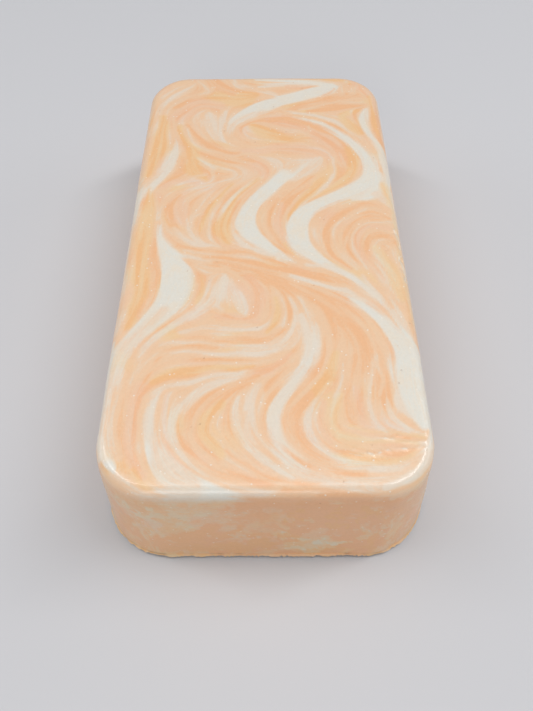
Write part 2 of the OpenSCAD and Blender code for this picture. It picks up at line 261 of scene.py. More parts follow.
# ---- the swirl
# Each stroke is a tone and a path of [x, y, half width] in mm on the skin's flat map.
# O orange, Y yellow orange, P pink peach, C pale yellow peach, L pale blend, W cream.
TONES = {
    "O": (0.12, 0.0), "Y": (0.22, 1.0), "P": (0.45, -1.0), "C": (0.60, 0.8), "L": (0.80, 0.0),
    "W": (1.25, 0.0),
}
BROAD_COVER = 0.88  # how far a broad or a thin stroke hides what lies under it
THIN_COVER = 0.72
STROKES = [
    # far end
    ("Y", [-40, 127, 7], [-28, 127, 9], [-15, 126, 8], [-6, 129, 3]),
    ("O", [-36, 149, 4], [-31, 141, 6], [-22, 133, 4]),
    ("P", [-58, 104, 5], [-52, 112, 7], [-44, 120, 6], [-30, 118, 4]),
    ("L", [-48, 143, 2], [-54, 137, 5], [-62, 130, 5], [-68, 120, 3], [-71, 106, 2], [-73, 88, 2]),
    ("L", [-45, 146, 1], [-41, 140, 1.6], [-40, 134, 1.6], [-46, 129, 1]),
    ("O", [-36, 137, 1.5], [-40, 130, 1.5], [-52, 125, 1.5], [-60, 118, 1.5]),
    ("L", [-21, 149, 1.2], [-19, 142, 1.8], [-13, 138, 2.2], [-4, 135, 2.2], [3, 133, 3], [8, 128, 1.5]),
    ("O", [-14, 144, 1], [-6, 141, 1.4], [2, 139, 1]),
    ("L", [-4, 139, 2], [8, 140, 4], [26, 142, 5], [42, 144, 4], [54, 140, 2]),
    ("L", [-8, 112, 4], [-18, 104, 6], [-26, 94, 6], [-28, 84, 4]),
    ("P", [16, 139, 2], [26, 139, 2], [34, 141, 1]),
    ("Y", [-14, 149, 1.2], [6, 150, 1.2], [30, 149, 1.5], [48, 147, 1.5], [60, 143, 2]),
    ("L", [57, 144, 1.5], [54, 137, 2], [56, 131, 1.5]),
    ("L", [64, 141, 0.8], [60, 136, 1], [59, 130, 0.8]),
    ("P", [62, 145, 2], [66, 137, 3], [72, 128, 3], [74, 112, 2]),
    ("Y", [71, 128, 1.5], [72, 114, 1.5], [72, 98, 1.5], [74, 86, 1]),
    ("O", [64, 127, 4], [50, 125, 5], [38, 121, 4], [26, 117, 3], [12, 110, 2]),
    ("O", [66, 118, 3], [54, 116, 4], [42, 114, 3], [30, 112, 2]),
    ("L", [60, 122, 0.7], [48, 121, 0.9], [36, 117, 0.7], [24, 114, 0.6]),
    ("L", [12, 112, 1], [24, 110, 1.8], [36, 106, 2], [46, 101, 2], [55, 92, 1.6], [61, 82, 1]),
    ("Y", [62, 112, 2], [58, 110, 3], [51, 106, 3], [56, 98, 3], [61, 88, 2]),
    ("L", [58, 112, 0.8], [59, 104, 0.9], [62, 96, 0.8], [66, 84, 0.8]),
    ("O", [69, 104, 1.2], [69, 96, 1.5], [70, 90, 1]),
    ("P", [2, 104, 2], [16, 101, 5], [28, 94, 6], [38, 86, 7], [46, 76, 6], [50, 66, 4]),
    ("O", [4, 103, 1.5], [16, 103, 2], [28, 98, 2.4], [38, 92, 2.4], [46, 86, 2.4], [52, 78, 2.4],
     [57, 66, 2.4]),
    ("Y", [-8, 96, 3], [0, 91, 5], [9, 87, 5], [15, 84, 2]),
    ("Y", [53, 74, 3], [55, 64, 4], [55, 54, 4], [50, 46, 3], [42, 40, 2], [32, 33, 2], [24, 26, 1.5]),
    ("L", [6, 97, 0.6], [14, 94, 0.8], [22, 91, 0.6]),
    ("L", [29, 97, 0.5], [28, 90, 0.7], [24, 85, 0.5]),
    ("L", [8, 92, 0.4], [18, 90, 0.5], [28, 86, 0.4]),
    ("L", [-24, 84, 2.4], [-19, 79, 2.2], [-9, 76, 1.6], [6, 77, 1.1], [20, 78, 0.9], [30, 77, 0.5]),
    ("L", [-18, 93, 1], [-16, 86, 1.4], [-10, 81, 1.2], [0, 79, 0.8]),
    ("L", [-36, 108, 4], [-34, 100, 7], [-32, 91, 7], [-28, 84, 4]),
    ("L", [-26, 112, 1.5], [-27, 101, 3.5], [-25, 90, 3], [-20, 82, 2]),
    ("L", [-10, 71, 0.6], [4, 72, 0.8], [18, 71, 0.6], [30, 68, 0.6]),
    ("P", [-20, 69, 2], [-4, 73, 3], [14, 74, 4], [30, 72, 4], [40, 66, 3]),
    ("P", [-10, 62, 3], [-2, 56, 5], [0, 48, 3]),
    ("O", [-52, 96, 3], [-46, 88, 3], [-38, 80, 3], [-28, 73, 2.5], [-16, 70, 1.5]),
    ("Y", [-56, 96, 2], [-52, 86, 2], [-44, 76, 3], [-34, 70, 2]),
    ("O", [-40, 72, 1.5], [-30, 67, 3], [-18, 63, 2.5], [-8, 61, 2]),
    ("L", [-50, 94, 0.7], [-47, 84, 0.8], [-40, 76, 1], [-30, 70, 0.8], [-18, 67, 0.8], [-6, 68, 0.8],
     [3, 65, 1], [8, 60, 1.1], [9, 53, 1.1], [5, 47, 0.8]),
    ("L", [-60, 104, 0.8], [-59, 94, 1], [-55, 86, 0.8]),
    ("Y", [-66, 106, 3], [-67, 90, 4], [-67, 76, 5], [-69, 62, 4], [-71, 50, 3]),
    ("Y", [-46, 74, 2], [-45, 62, 5], [-42, 52, 5], [-36, 46, 2]),
    ("L", [-41, 62, 0.7], [-34, 57, 1], [-31, 51, 1.2], [-33, 44, 1], [-42, 38, 0.8]),
    ("O", [-29, 52, 1.5], [-22, 51, 2]),
    ("L", [-52, 40, 0.6], [-43, 47, 1], [-36, 50, 0.8]),
    ("P", [-60, 40, 3], [-50, 44, 2], [-42, 42, 1.5]),
    # middle
    ("L", [35, 64, 2], [31, 58, 5], [24, 52, 4], [18, 46, 3]),
    ("L", [44, 67, 0.8], [42, 59, 1.2], [41, 50, 1.3], [38, 42, 1.4], [33, 36, 1.1], [26, 28, 0.9],
     [19, 21, 0.8]),
    ("L", [40, 67, 0.4], [44, 62, 0.5], [48, 56, 0.4]),
    ("O", [30, 48, 2], [24, 42, 4], [15, 33, 5], [8, 22, 5], [5, 10, 4], [8, -2, 3], [14, -11, 2],
     [20, -19, 1.2]),
    ("P", [10, 24, 2], [8, 8, 3], [11, -4, 1.5]),
    ("Y", [36, 45, 2.5], [28, 36, 2.5], [20, 26, 2], [14, 16, 1]),
    ("L", [13, 26, 0.6], [11, 14, 0.8], [12, 2, 0.6]),
    ("Y", [11, -6, 1.2], [14, -12, 1.4], [19, -18, 0.8]),
    ("Y", [-4, 46, 1.2], [-12, 37, 1.8], [-18, 27, 2.2], [-22, 15, 2.8], [-24, 4, 3.4], [-21, -5, 2.4]),
    ("L", [-13, 24, 1], [-17, 14, 1.6], [-18, 4, 2], [-14, -5, 1.8], [-6, -12, 1]),
    ("Y", [-24, 16, 1.4], [-26, 8, 2], [-25, 0, 1.6]),
    ("C", [-40, -30, 2], [-39, -40, 2.4], [-42, -50, 2]),
    ("O", [-18, 2, 0.7], [-13, -1, 1.1], [-9, -4, 0.6]),
    ("Y", [-19, 42, 0.9], [-25, 34, 1.3], [-31, 24, 1.5], [-35, 13, 1.5], [-36, 4, 1]),
    ("L", [-29, 34, 0.5], [-34, 24, 0.7], [-38, 12, 0.8], [-38, 2, 0.8], [-33, -7, 0.6]),
    ("P", [-46, 36, 2], [-52, 28, 5], [-49, 16, 6], [-44, 8, 3]),
    ("O", [-50, 33, 1.6], [-55, 24, 1.8], [-53, 14, 1.2]),
    ("L", [-36, 16, 0.8], [-43, 14, 1.4], [-43, 5, 2], [-38, -4, 1.4]),
    ("L", [-30, 42, 0.7], [-42, 38, 0.9], [-52, 34, 1], [-59, 26, 1.2], [-60, 15, 1.2], [-56, 4, 1.4],
     [-48, -3, 1.2], [-40, -8, 0.8]),
    ("L", [-68, 32, 1.4], [-64, 24, 1.4], [-62, 12, 1.2]),
    ("L", [-52, 5, 1.6], [-46, -2, 2.4], [-37, -7, 2.2], [-27, -10, 1.5], [-16, -13, 1]),
    ("O", [-50, -9, 1.2], [-38, -11, 1.6], [-24, -12, 1.6], [-10, -12, 1.6], [0, -17, 1.4], [12, -24, 1]),
    ("L", [-44, -12, 0.8], [-30, -15, 1], [-14, -16, 1.1], [-2, -19, 1], [10, -26, 0.8]),
    ("O", [-34, -17, 1.2], [-20, -18, 1.6], [-6, -21, 1.6], [6, -26, 1.4], [22, -30, 1.2], [36, -34, 1],
     [48, -39, 1]),
    ("L", [-46, -16, 1], [-34, -19, 1.4], [-20, -21, 1.1], [-6, -25, 0.8], [8, -31, 0.8], [20, -37, 0.6]),
    ("L", [-36, -24, 3], [-30, -27, 2.4], [-18, -27, 1.2], [-6, -30, 0.7]),
    # right-hand eddy
    ("O", [74, 16, 2.4], [66, 22, 3], [57, 23, 3.4], [48, 18, 3.4], [41, 11, 3], [36, 2, 3],
     [34, -7, 2.4], [38, -16, 1.6], [46, -25, 1.2]),
    ("O", [72, 11, 1.6], [60, 14, 2], [50, 8, 2.6], [46, -2, 2.6], [48, -12, 2], [53, -22, 1]),
    ("P", [70, 4, 2], [60, 7, 2.4], [53, 0, 3], [52, -10, 3], [57, -22, 2.5], [64, -34, 2]),
    ("L", [30, 0, 0.7], [31, -8, 1], [36, -16, 0.8], [45, -26, 0.6]),
    ("L", [58, 19, 0.6], [48, 14, 0.9], [41, 5, 1], [39, -5, 0.8], [43, -15, 0.8], [50, -26, 0.6]),
    ("L", [73, 9, 0.8], [63, 10, 1], [54, 5, 1], [49, -3, 0.8], [50, -12, 0.7], [56, -26, 0.7]),
    ("L", [72, 0, 0.8], [63, 3, 1], [57, -3, 1], [56, -12, 0.9], [60, -24, 0.9], [67, -37, 0.8]),
    ("L", [70, -6, 0.9], [64, -5, 1.1], [61, -12, 1.1], [64, -22, 1], [70, -31, 0.7]),
    ("O", [70, -10, 0.6], [66, -9, 0.8], [65, -15, 0.8], [68, -21, 0.6]),
    ("L", [46, -3, 0.4], [45, -12, 0.6], [50, -22, 0.5]),
    ("W", [70, 50, 2.4], [70, 42, 3.4], [67, 35, 4], [60, 30, 3], [52, 28, 1.5]),
    ("L", [67, 33, 3], [72, 27, 3], [76, 21, 2]),
    ("C", [71, 42, 2], [73, 34, 3], [74, 24, 2.4]),
    ("L", [53, -31, 1.2], [60, -40, 1.8], [66, -50, 2.4], [70, -60, 2.4], [73, -70, 2]),
    ("L", [-3, -12, 2], [8, -16.5, 2.4], [20, -21, 2.6], [32, -25, 2.6], [42, -30, 2.6], [50, -36, 2.4],
     [58, -43, 2]),
    ("W", [24, -21.5, 1.2], [34, -25, 1.6], [42, -29.5, 1.4], [50, -36, 1]),
    ("W", [8, -30, 0.5], [20, -34, 0.9], [31, -37.5, 1.2], [42, -42, 1.6], [50, -48, 2]),
    ("O", [22, -28, 0.7], [34, -31, 1], [44, -35.5, 1], [52, -41, 1], [60, -50, 0.8]),
    ("O", [56, -33, 0.5], [62, -42, 0.7], [67, -52, 0.6]),
    ("C", [62, -10, 2], [66, -20, 4], [70, -32, 4.5], [72, -46, 3]),
    ("C", [76, 24, 1.6], [76, 8, 2.2], [76, -8, 2.6], [77, -24, 2.8], [77, -42, 2.8], [77, -60, 2.4]),
    ("L", [56, -20, 0.5], [61, -32, 0.8], [67, -44, 0.8], [71, -58, 0.6]),
    ("L", [60, -22, 0.4], [66, -36, 0.6], [71, -50, 0.5]),
    ("W", [74, 3, 0.6], [76, -3, 1], [77, -10, 0.8]),
    ("W", [75, -18, 0.5], [77, -26, 0.9], [78, -34, 0.7]),
    ("O", [67, -9, 0.3], [69, -12, 0.6], [68, -14, 0.3]),
    # left side
    ("Y", [-69, 40, 2], [-68, 22, 3.6], [-68, 4, 4.6], [-67, -16, 5], [-66, -36, 5.6], [-67, -52, 5],
     [-71, -64, 2.4]),
    ("O", [-62, 2, 1], [-61, -14, 2.4], [-59, -30, 2.4], [-60, -46, 2.2], [-65, -58, 1.6]),
    # this pale strip along the left fillet is partly the soap's pale blend and partly a painted highlight
    # on the lit edge
    ("L", [-75, 30, 1.6], [-77, 5, 1.4], [-78, -30, 1.8], [-78, -66, 2]),
    ("C", [-35, -30, 1], [-33, -40, 1.5], [-36, -49, 1.5]),
    ("O", [-38, -51, 0.6], [-44, -57, 1], [-52, -64, 1], [-61, -73, 0.7]),
    ("L", [-36, -36, 1], [-38, -46, 1], [-44, -54, 0.8]),
    ("P", [-8, -34, 4], [-4, -44, 5], [-5, -54, 4]),
    ("L", [-24, -22, 1], [-14, -30, 1], [-8, -40, 0.6]),
    ("P", [-24, -58, 2], [-14, -60, 3], [-4, -60, 2]),
    ("L", [-42, -66, 2], [-30, -63, 3.4], [-16, -65, 3.4], [-4, -64, 2]),
    ("Y", [5, -46, 1.4], [7, -54, 1.8], [6, -61, 2], [1, -67, 1.4]),
    ("L", [3, -42, 0.5], [5, -52, 0.6], [3, -60, 0.6], [-3, -64, 0.5]),
    ("L", [9, -44, 0.5], [11, -54, 0.7], [9, -64, 0.7], [2, -70, 0.5]),
    ("L", [-27, -51, 2], [-22, -55, 1.2]),
    # lower left bands
    ("O", [9, -66, 1.6], [1, -71, 2], [-12, -72, 1.8], [-26, -71, 1.6], [-38, -70, 1.2], [-48, -74, 1]),
    ("L", [-52, -75, 1.2], [-42, -73, 1.6], [-30, -73, 1], [-18, -74, 0.6]),
    ("O", [-54, -84, 1.2], [-48, -78, 1.6], [-38, -76, 1.4], [-26, -75, 1.2], [-14, -75, 0.7]),
    ("L", [-58, -88, 0.8], [-52, -81, 1], [-42, -79, 1.2], [-30, -79, 1.4], [-14, -80, 1.6],
     [2, -80, 1.6], [12, -75, 1.6], [17, -66, 1.2]),
    ("O", [-60, -98, 1.6], [-54, -88, 1.6], [-44, -83, 1.4], [-30, -83, 1.2], [-14, -84, 1.2],
     [2, -84, 1.3], [11, -81, 1]),
    ("Y", [-54, -96, 2], [-44, -92, 3], [-34, -90, 2.6], [-20, -88, 1.8], [-6, -88, 1]),
    ("L", [-57, -104, 1.6], [-49, -99, 1.8], [-37, -96, 1.8], [-24, -92, 1.4], [-10, -90, 1]),
    ("P", [-6, -93, 2], [2, -91, 2.4], [8, -87, 2], [13, -80, 1.2]),
    ("O", [-4, -95, 1.6], [-14, -99, 3.4], [-24, -105, 4.4], [-31, -113, 5.4], [-32, -123, 4.4],
     [-27, -131, 2.4], [-20, -136, 1]),
    ("Y", [-22, -108, 2.4], [-27, -118, 3.4], [-25, -127, 3.4], [-19, -133, 2]),
    ("O", [-17, -131, 0.8], [-10, -138, 1.2], [-2, -143, 1.6], [10, -147, 1.4], [24, -147, 0.8]),
    ("L", [-38, -132, 1.8], [-31, -140, 2.8], [-20, -146, 3], [-8, -149, 2.4], [6, -151, 1.6]),
    ("L", [-23, -112, 0.5], [-25, -122, 0.6], [-19, -130, 0.5]),
    ("L", [-4, -100, 3], [-6, -110, 4], [-5, -120, 4], [1, -130, 3], [9, -138, 2]),
    ("O", [12, -87, 1.6], [6, -94, 1.8], [0, -101, 1.2]),
    ("O", [-9, -112, 0.6], [-9, -121, 0.8], [-3, -130, 0.8], [5, -137, 0.6]),
    # big orange sweep to the near end
    ("O", [-28, -21, 1.5], [-14, -23, 3], [-2, -28, 4.5], [10, -35, 5], [22, -42, 5], [33, -50, 6],
     [42, -60, 6.4], [49, -71, 6], [53, -83, 6], [55, -96, 5], [57, -108, 4]),
    ("O", [33, -58, 4], [36, -70, 6.5], [35, -82, 6.5], [31, -92, 5], [25, -101, 4], [18, -108, 3]),
    ("Y", [34, -80, 2], [32, -90, 3], [27, -98, 3], [20, -106, 2.4]),
    ("O", [44, -84, 3], [42, -96, 3.4], [40, -108, 3.4], [42, -118, 2]),
    ("O", [20, -104, 2.6], [14, -111, 3], [12, -120, 3.4], [15, -129, 3], [23, -136, 2.6], [34, -141, 2],
     [46, -141, 1.4]),
    ("L", [13, -44, 1], [18, -54, 2.2], [21, -64, 3.2], [22.5, -74, 3.8], [21, -84, 3.6]),
    ("W", [19, -57, 1], [22.5, -66, 2], [24, -74, 2.2], [22, -84, 2]),
    ("L", [38, -86, 0.5], [36, -96, 0.7], [32, -105, 0.6]),
    ("C", [36, -104, 1], [32, -112, 1.6], [32, -120, 1.6], [38, -127, 1]),
    ("P", [27, -108, 1.4], [25, -118, 1.4], [30, -127, 1.2]),
    ("P", [44, -100, 1.6], [44, -110, 2], [46, -118, 1.4]),
    ("L", [53, -86, 0.5], [56, -94, 0.8], [54, -104, 0.8]),
    ("O", [58, -92, 1.8], [57.5, -104, 1.8], [59, -113, 1.5], [64, -120, 1]),
    ("W", [66, -88, 3], [65.5, -98, 3.6], [66, -108, 3.6], [69, -115, 3], [73, -120, 1.6]),
    # near right corner
    ("Y", [40, -120, 1], [52, -122, 1.4], [64, -124, 1.4], [76, -127, 1.2]),
    ("C", [34, -125, 1.4], [46, -127, 2], [58, -127, 1.6], [70, -129, 1.2]),
    ("O", [42, -122, 0.6], [54, -124, 0.7], [66, -126, 0.6]),
    ("O", [34, -132, 0.7], [46, -134, 0.9], [60, -134, 0.9], [72, -131, 0.8]),
    ("C", [30, -134, 1], [44, -137, 2], [58, -138, 2], [70, -133, 1.6]),
    ("L", [46, -143, 2], [58, -142, 2.4], [68, -137, 2.4], [75, -126, 2]),
    ("W", [52, -148, 1.6], [62, -146, 2], [70, -140, 2], [76, -128, 2], [78, -112, 2]),
    # near left corner
    ("P", [-60, -98, 2.4], [-62, -110, 3], [-62, -122, 3], [-60, -133, 2.6], [-55, -143, 2.2]),
    ("Y", [-58, -141, 1.2], [-54, -147, 1.6], [-49, -150, 1.2]),
    ("L", [-69, -90, 3], [-71, -106, 3.6], [-71, -122, 3.2], [-66, -134, 2.4]),
    ("L", [-52, -108, 2.6], [-53, -120, 4], [-53, -130, 4]),
    ("W", [-77, -72, 1.6], [-79, -96, 2.2], [-79, -120, 2.2], [-76, -136, 1.8]),
    ("P", [-47, -104, 0.8], [-47, -114, 1.2], [-46, -124, 1.4], [-41, -134, 1.2], [-34, -142, 0.8]),
    ("L", [-57, -106, 0.8], [-58, -118, 0.9], [-56, -130, 0.8]),
    ("O", [-36, -141, 0.5], [-28, -146, 0.7], [-16, -149, 0.6]),
    ("L", [-66, -144, 2.4], [-56, -150, 2.6], [-44, -152, 2], [-20, -152, 1.6]),
    # near wall
    ("P", [-30, -176, 6], [-14, -168, 8], [4, -165, 8], [22, -163, 8], [42, -165, 8], [58, -166, 6]),
    ("P", [-24, -186, 6], [-6, -182, 7], [14, -182, 8], [34, -180, 8], [54, -182, 7]),
    ("O", [-6, -155, 1.5], [14, -155, 2], [34, -155, 2], [54, -155, 2]),
    ("L", [-68, -160, 3], [-54, -160, 6], [-40, -158, 6], [-26, -156, 4.4], [-12, -154, 2]),
    ("L", [-60, -172, 4], [-50, -171, 6], [-38, -171, 5], [-30, -167, 3]),
    ("L", [-62, -190, 2.4], [-57, -191, 4.6], [-50, -188, 3], [-43, -182, 3], [-40, -174, 3]),
    ("P", [-66, -182, 4], [-56, -181, 3]),
    ("O", [-62, -206, 5], [-46, -200, 6], [-30, -194, 6], [-14, -193, 4]),
    ("Y", [-50, -212, 3], [-36, -214, 4], [-20, -210, 4], [-4, -208, 5], [10, -200, 4], [12, -192, 2]),
    ("Y", [12, -164, 2], [13, -176, 1.5]),
    ("Y", [32, -166, 1.5], [31, -180, 1.6], [34, -192, 1.2]),
    ("Y", [46, -166, 2], [47, -178, 1.4]),
    ("P", [-12, -200, 4], [0, -196, 3], [8, -210, 3]),
    ("L", [-4, -180, 3.4], [4, -176, 4], [9, -186, 2.4]),
    ("L", [6, -194, 0.5], [12, -195, 0.8], [14, -200, 1.2], [17, -206, 0.8]),
    ("L", [20, -214, 3], [27, -206, 3.4], [34, -200, 2]),
    ("L", [50, -206, 3], [55, -200, 3.4], [57, -192, 2]),
    ("P", [22, -192, 4], [40, -196, 5], [48, -214, 4]),
    ("L", [4, -217, 1.4], [12, -218, 1.4], [26, -220, 1.2]),
    ("P", [-44, -219, 2], [-24, -221, 2], [0, -222, 2], [30, -221, 2], [52, -219, 2]),
    ("L", [72, -156, 3], [70, -176, 4], [68, -196, 4]),
    ("P", [66, -196, 4], [66, -210, 4]),
    ("L", [-74, -160, 3], [-73, -180, 3], [-72, -196, 3]),
]


def curve(path, step=1.5):
    """Points [x, y, half width] along the smooth curve through the path's points."""
    p = np.array(path, float)
    q = np.concatenate([[2 * p[0] - p[1]], p, [2 * p[-1] - p[-2]]])
    out = []
    for i in range(len(p) - 1):
        a, b, c, d = q[i : i + 4]
        n = max(2, int(np.linalg.norm((c - b)[:2]) / step))
        for t in np.arange(n) / n:
            bend = (2 * a - 5 * b + 4 * c - d) * t**2 + (3 * b - a - 3 * c + d) * t**3
            out.append(0.5 * (2 * b + (c - a) * t + bend))
    out.append(p[-1])
    return np.array(out)


def to_line(p, line, reach):
    """For points within reach of a line of [x, y, w]: their indices, distances and the line's w."""
    low, high = line[:, :2].min(0) - reach, line[:, :2].max(0) + reach
    near = np.flatnonzero(np.all((p > low) & (p < high), axis=1))
    best = np.full(len(near), 1e9)
    width = np.zeros(len(near))
    q = p[near]
    for a, b in zip(line[:-1], line[1:]):
        ab = b[:2] - a[:2]
        t = np.clip(((q - a[:2]) @ ab) / max(ab @ ab, 1e-9), 0, 1)
        d = np.hypot(q[:, 0] - a[0] - t * ab[0], q[:, 1] - a[1] - t * ab[1])
        closer = d < best
        best = np.where(closer, d, best)
        width = np.where(closer, a[2] + (b[2] - a[2]) * t, width)
    return near, best, width


def to_outline(p, ring, reach):
    """Signed distance to a closed outline, positive inside, as far as reach."""
    out = np.full(len(p), -float(reach))
    closed = np.vstack([ring, ring[:1]])
    near, d, _ = to_line(p, np.column_stack([closed, np.zeros(len(closed))]), reach)
    q = p[near]
    inside = np.zeros(len(near), bool)
    for a, b in zip(closed[:-1], closed[1:]):
        crosses = (a[1] > q[:, 1]) != (b[1] > q[:, 1])
        if crosses.any():
            x = a[0] + (q[:, 1] - a[1]) / (b[1] - a[1] + 1e-12) * (b[0] - a[0])
            inside ^= crosses & (q[:, 0] < x)
    out[near] = np.where(inside, d, -np.minimum(d, reach))
    return out


def swirl(flat):
    """Tone (0 orange, 1 pale) and warmth (-1 pink, 1 yellow) at points of the flat map."""
    drift = np.column_stack([Wobble(3, 26)(flat), Wobble(4, 26)(flat)]) * 0.9
    p = flat + drift
    tone = 0.46 + 0.10 * Wobble(5, 30)(p)
    warm = 0.45 * Wobble(6, 38)(p)
    for name, *path in STROKES:
        line = curve(path)
        near, d, w = to_line(p, line, 12)
        soft = 0.7 + 0.38 * w
        cover = BROAD_COVER if line[:, 2].max() > 1.5 else THIN_COVER
        amount = smoothstep(w + soft, w - soft, d) * cover
        to_tone, to_warm = TONES[name]
        tone[near] += (to_tone - tone[near]) * amount
        warm[near] += (to_warm - warm[near]) * amount
    return tone, warm


class Flow:
    """The way the swirl runs, from the strokes and ribbons, and threads drawn out along it."""

    low, high = np.array([-165.0, -240.0]), (165, 240)  # the flat map's corners
    coarse, fine = 4.0, 0.75  # steps of the grids for the flow and for the threads

    def __init__(self, lines):
        pts, tangent = [], []
        for line in lines:
            d = np.gradient(line[:, :2], axis=0)
            pts.append(line[:, :2])
            tangent.append(np.arctan2(d[:, 1], d[:, 0]))
        pts, tangent = np.concatenate(pts), np.concatenate(tangent)
        gx, gy = (np.arange(self.low[i], self.high[i] + self.coarse, self.coarse) for i in (0, 1))
        # doubled angles, so that a line's two directions count as one
        c2, s2 = np.cos(2 * tangent), np.sin(2 * tangent)
        u, v = np.zeros((len(gy), len(gx))), np.zeros((len(gy), len(gx)))
        for row in range(len(gy)):
            d2 = (gx[:, None] - pts[:, 0]) ** 2 + (gy[row] - pts[:, 1]) ** 2
            w = 1 / (d2 + 4) ** 2
            u[row], v[row] = w @ c2, w @ s2
        length = np.hypot(u, v) + 1e-12
        self.u, self.v = u / length, v / length
        count = ((self.high - self.low) / self.fine).astype(int)
        fx, fy = np.meshgrid(*(self.low[i] + np.arange(count[i]) * self.fine for i in (0, 1)))
        self.grid = np.stack([fx.ravel(), fy.ravel()], 1)
        self.shape = fx.shape

    def lookup(self, field, p, size):
        """A field's values at points, blended between its grid points, which lie size apart."""
        q = (p - self.low) / size
        q[:, 0] = np.clip(q[:, 0], 0, field.shape[1] - 1.001)
        q[:, 1] = np.clip(q[:, 1], 0, field.shape[0] - 1.001)
        i = q.astype(int)
        f = q - i
        ix, iy = i[:, 0], i[:, 1]
        below = field[iy, ix] * (1 - f[:, 0]) + field[iy, ix + 1] * f[:, 0]
        above = field[iy + 1, ix] * (1 - f[:, 0]) + field[iy + 1, ix + 1] * f[:, 0]
        return below * (1 - f[:, 1]) + above * f[:, 1]

    def heading(self, p, last=None):
        """The flow's direction at points, turned to go on from the last one."""
        u, v = self.lookup(self.u, p, self.coarse), self.lookup(self.v, p, self.coarse)
        a = 0.5 * np.arctan2(v, u)
        h = np.column_stack([np.cos(a), np.sin(a)])
        if last is not None:
            h *= np.where((h * last).sum(1) < 0, -1, 1)[:, None]
        return h

    def threads(self, seed, grain, half_length):
        """Noise of that grain, in mm, drawn out along the flow. Mean 0, spread 1."""
        rng = np.random.default_rng(seed)
        noise = rng.normal(size=self.shape)
        for axis in (0, 1):
            k = np.exp(-0.5 * (np.arange(-8, 9) * self.fine / (grain * 0.5)) ** 2)
            k /= k.sum()
            noise = np.apply_along_axis(lambda r: np.convolve(r, k, mode="same"), axis, noise)
        total = self.lookup(noise, self.grid, self.fine)
        for direction in (1, -1):
            p = self.grid.copy()
            h = self.heading(p) * direction
            for k in range(half_length):
                p = p + h
                h = self.heading(p, h)
                total += self.lookup(noise, p, self.fine) * (1 - k / half_length)
        total = (total - total.mean()) / total.std()
        return total.reshape(self.shape)


# ---- cutting the slab into its pieces
def put_in_scene(name, data):
    obj = bpy.data.objects.new(name, data)
    bpy.context.scene.collection.objects.link(obj)
    return obj


def mesh_object(name, verts, faces):
    """A new object from vertices in mm and faces."""
    mesh = bpy.data.meshes.new(name)
    mesh.from_pydata((np.asarray(verts) * MM).tolist(), [], faces)
    mesh.update()
    return put_in_scene(name, mesh)


def in_mm(mesh):
    """A mesh's vertices, in mm."""
    co = np.zeros(len(mesh.vertices) * 3)
    mesh.vertices.foreach_get("co", co)
    return co.reshape(-1, 3) / MM


def ribbon_plan(node):
    """The outline of a CAD ribbon's flat underside, in mm, and that underside's height."""
    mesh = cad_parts[node].data
    co = in_mm(mesh)
    floor_z = co[:, 2].min()
    key = {}
    spot = [key.setdefault(tuple(np.round(c, 3)), len(key)) for c in co]
    places = np.array(list(key))
    edges = []
    for poly in mesh.polygons:
        ids = [spot[v] for v in poly.vertices]
        if co[list(poly.vertices), 2].max() < floor_z + 0.01:
            edges += zip(ids, ids[1:] + ids[:1])
    every_edge = set(edges)
    follow = {a: b for a, b in edges if (b, a) not in every_edge}  # the rim's edges
    start = next(iter(follow))
    ring = [start]
    while follow[ring[-1]] != start:
        ring.append(follow[ring[-1]])
    return places[ring][:, :2][::-1], floor_z


def past_the_wall(ring, z):
    """The outline with the points that lie on the wall moved well outside it."""
    p = np.column_stack([ring, np.full(len(ring), z)])
    foot, way, _ = way_along(p)
    out = np.linalg.norm(ring - foot, axis=1)
    on_wall = out > CORNER - z * math.tan(DRAFT) - 0.05
    return np.where(on_wall[:, None], ring + way * 5, ring)


def curtain(ring, z):
    """A straight-sided cutter of that outline, from z to above the top."""
    n = len(ring)
    verts = [(x, y, z) for x, y in ring] + [(x, y, HEIGHT + 5) for x, y in ring]
    sides = [(i, (i + 1) % n, n + (i + 1) % n, n + i) for i in range(n)]
    return verts, [tuple(range(n))[::-1], tuple(range(n, 2 * n))] + sides


def cut(name, whole, cutter, operation):
    """A new object: whole with cutter's shape kept (INTERSECT) or taken away (DIFFERENCE)."""
    obj = put_in_scene(name, whole.data)
    boolean = obj.modifiers.new("cut", "BOOLEAN")
    boolean.solver, boolean.operation, boolean.object = "MANIFOLD", operation, cutter
    bpy.context.view_layer.update()
    evaluated = obj.evaluated_get(bpy.context.evaluated_depsgraph_get())
    mesh = bpy.data.meshes.new_from_object(evaluated)
    obj.modifiers.clear()
    obj.data = mesh
    mesh.name = name
    return obj


def keep_skin_smooth(obj, skin, skin_normals):
    """Skin faces take the uncut slab's normals, so no seam shows, and cut faces stay flat."""
    mesh = obj.data
    corner_normals = []
    at_vertex = {}
    for poly in mesh.polygons:
        _, normal, _, away = skin.find_nearest(poly.center)
        is_skin = away < 0.02 * MM and normal.dot(poly.normal) > 0.5
        for v in poly.vertices:
            if is_skin and v not in at_vertex:
                at_vertex[v] = tuple(skin_normals(mesh.vertices[v].co))
            corner_normals.append(at_vertex[v] if is_skin else tuple(poly.normal))
    for poly in mesh.polygons:
        poly.use_smooth = True
    mesh.normals_split_custom_set(corner_normals)


def smooth_normals(slab):
    """The skin's search tree, and a function from a point on it to its smooth normal there."""
    mesh = slab.data
    places = [v.co.copy() for v in mesh.vertices]
    normals = [v.normal.copy() for v in mesh.vertices]
    faces = [tuple(p.vertices) for p in mesh.polygons]
    tree = BVHTree.FromPolygons(places, faces)

    def at(point):
        _, face_normal, index, _ = tree.find_nearest(point)
        ids = faces[index]
        if len(ids) > 4:  # the flat underside
            return face_normal
        total = Vector((0, 0, 0))
        for i in ids:
            total += normals[i] / ((places[i] - point).length + 1e-6) ** 2
        return total.normalized()

    return tree, at


